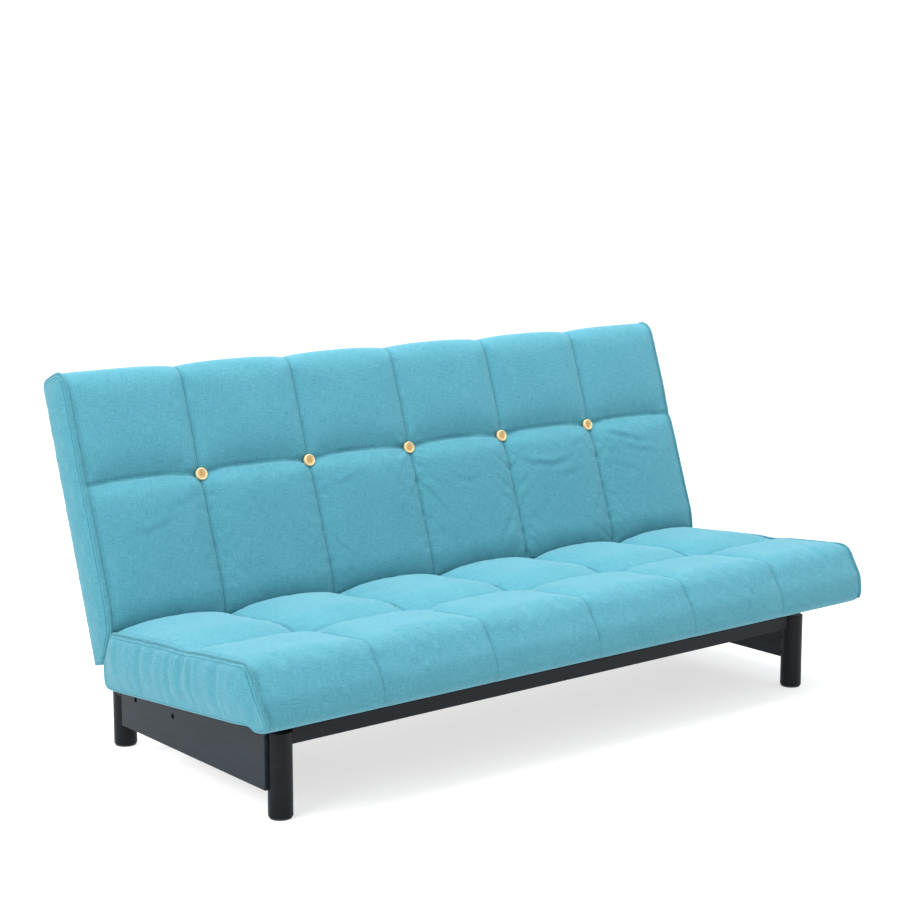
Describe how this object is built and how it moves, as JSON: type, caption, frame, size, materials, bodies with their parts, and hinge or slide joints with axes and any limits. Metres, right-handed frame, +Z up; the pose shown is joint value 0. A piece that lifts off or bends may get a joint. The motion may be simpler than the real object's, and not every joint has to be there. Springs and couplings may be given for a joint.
{
  "type": "futon sofa bed",
  "caption": "Click-clack futon sofa bed: tufted seat and back panels on ratchet hinges and swing links over a low frame of round legs, side boards and rails.",
  "frame": {"origin": "on the floor under the middle of the sofa's box, in its sitting pose", "axes": "+X to the right seen from the front (the long way), +Y to the rear, +Z up"},
  "size_m": [2, 0.9606, 0.9555],
  "materials": {
    "upholstery": "teal blue fine plain-weave polyester, slightly heathered, matte",
    "painted_wood": "satin charcoal paint with a blue-black cast",
    "button_wood": "light yellow varnished wood",
    "mechanism_steel": "black powder coat on pressed steel",
    "frame_tube": "black powder coat on square tube",
    "zinc_steel": "zinc-plated steel",
    "black_steel": "black oxide steel",
    "plywood": "raw birch plywood",
    "dowel_wood": "raw beech",
    "bush_plastic": "natural nylon",
    "glide_plastic": "black moulded plastic",
    "pad_rubber": "black rubber"
  },
  "bodies": {
    "base": {"front_leg_left": "painted_wood", "front_leg_right": "painted_wood", "rear_leg_left": "painted_wood", "rear_leg_right": "painted_wood", "leg_glides": "glide_plastic", "side_board_left": "painted_wood", "side_board_right": "painted_wood", "front_rail": "painted_wood", "rail_dowels": "dowel_wood", "rear_rail": "painted_wood", "rail_pads": "pad_rubber", "front_leg_bolts": "zinc_steel", "rear_leg_bolts": "zinc_steel", "rear_rail_screws": "zinc_steel", "hinge_plate_left": "mechanism_steel", "hinge_plate_right": "mechanism_steel", "link_pivot_bolts": "black_steel", "plate_bolts": "black_steel", "mechanism_nuts": "zinc_steel"},
    "swing_links": {"swing_link_left": "mechanism_steel", "swing_link_right": "mechanism_steel", "link_bushes": "bush_plastic"},
    "seat": {"seat_cushion": "upholstery", "seat_deck": "plywood", "seat_side_tube_left": "frame_tube", "seat_side_tube_right": "frame_tube", "seat_front_tube": "frame_tube", "seat_mid_tube": "frame_tube", "seat_rear_tube": "frame_tube", "seat_arm_left": "mechanism_steel", "seat_arm_right": "mechanism_steel", "link_pins": "zinc_steel", "hinge_pins": "zinc_steel", "pawl_pins": "zinc_steel", "seat_arm_bolts": "zinc_steel"},
    "back": {"back_cushion": "upholstery", "back_side_tube_left": "frame_tube", "back_side_tube_right": "frame_tube", "back_bottom_tube": "frame_tube", "back_mid_tube": "frame_tube", "back_top_tube": "frame_tube", "back_arm_left": "mechanism_steel", "back_arm_right": "mechanism_steel", "back_arm_bolts": "zinc_steel", "rear_cover": "upholstery", "tuft_buttons": "button_wood"},
    "pawl_left_body": {"pawl_left": "mechanism_steel"},
    "pawl_right_body": {"pawl_right": "mechanism_steel"}
  },
  "joints": [
    {"name": "link_swing", "type": "hinge", "parent": "base", "child": "swing_links", "pos_m": [0, 0.05835, 0.15], "axis": [1, 0, 0], "range_deg": [0, 131.2]},
    {"name": "seat_pivot", "type": "hinge", "parent": "swing_links", "child": "seat", "pos_m": [0, 0.18637, 0.18003], "axis": [1, 0, 0], "range_deg": [-126.2, 0]},
    {"name": "back_recline", "type": "hinge", "parent": "seat", "child": "back", "pos_m": [0, 0.2464, 0.22899], "axis": [-1, 0, 0], "range_deg": [0, 76]},
    {"name": "pawl_left_drop", "type": "hinge", "parent": "seat", "child": "pawl_left_body", "pos_m": [-0.8715, 0.2564, 0.17898], "axis": [1, 0, 0], "range_deg": [0, 8]},
    {"name": "pawl_right_drop", "type": "hinge", "parent": "seat", "child": "pawl_right_body", "pos_m": [0.8715, 0.2564, 0.17898], "axis": [1, 0, 0], "range_deg": [0, 8]}
  ],
  "couplings": [
    {"joint": "seat_pivot", "follows": "link_swing", "ratio": -0.96189}
  ]
}
